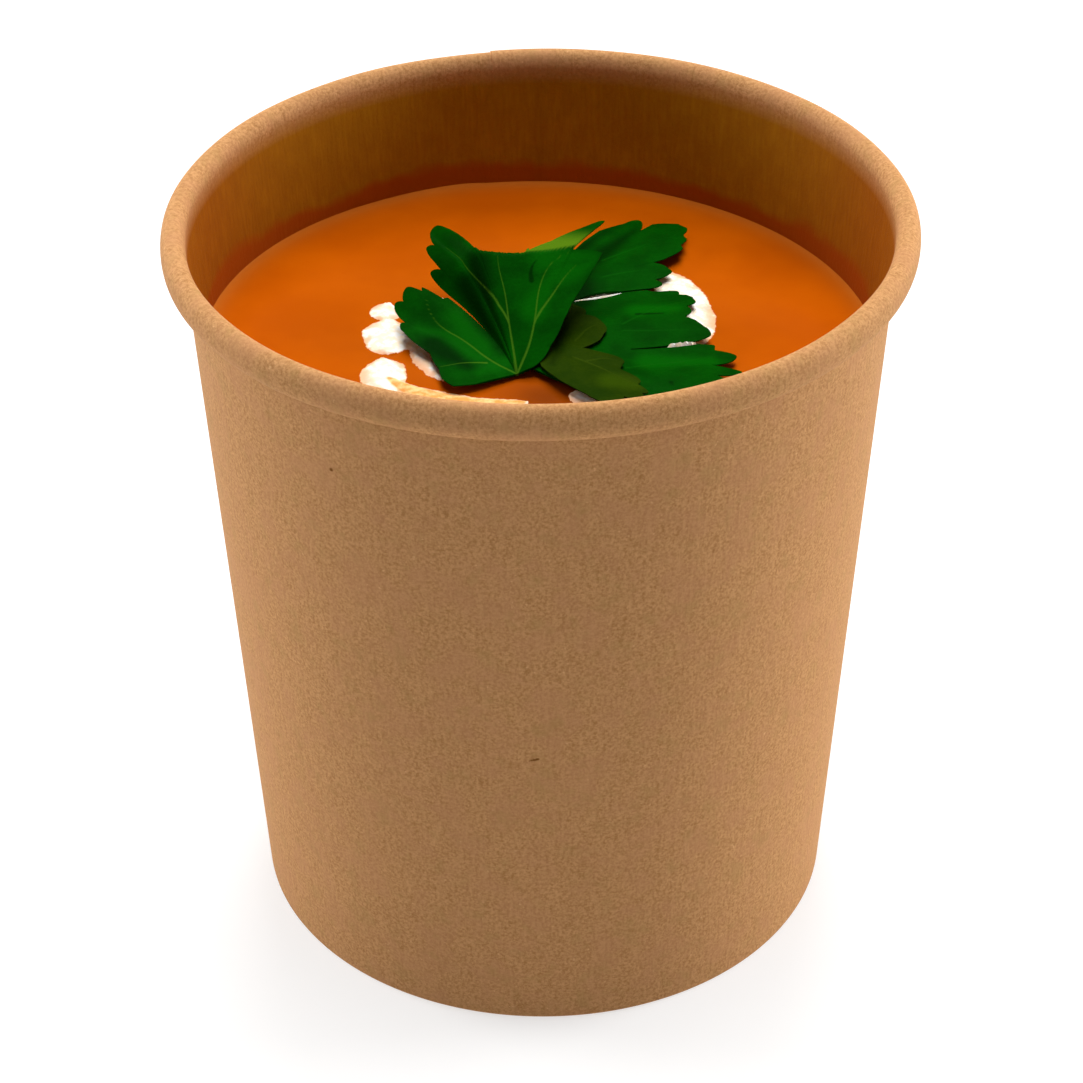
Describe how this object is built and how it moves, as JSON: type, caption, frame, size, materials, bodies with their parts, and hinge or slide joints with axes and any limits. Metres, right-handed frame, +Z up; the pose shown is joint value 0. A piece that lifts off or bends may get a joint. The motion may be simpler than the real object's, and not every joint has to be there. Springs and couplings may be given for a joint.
{
  "type": "takeaway soup container",
  "caption": "Round tapered paper takeaway cup with a rolled rim, filled with creamed soup, a broken cream swirl and parsley leaves.",
  "frame": {"origin": "middle of the ring that the cup stands on, at floor level", "axes": "+Z up along the cup's axis; +Y towards the side seam, so the picture is taken from -Y"},
  "size_m": [0.0988, 0.0972, 0.104],
  "materials": {
    "kraft_board": "uncoated brown kraft paperboard with fine fibres",
    "base_board": "uncoated brown kraft paperboard",
    "soup": "smooth thick orange soup with white cream, softly glossy",
    "leaf_deep": "fresh parsley, deep green, satin",
    "leaf_olive": "fresh parsley, olive green, satin",
    "leaf_bright": "fresh parsley, bright green, satin"
  },
  "bodies": {
    "root": {"cup_wall": "kraft_board", "cup_base": "base_board", "soup": "soup", "leaf_broad": "leaf_deep", "leaf_olive": "leaf_olive", "leaf_folded": "leaf_bright"}
  },
  "joints": []
}
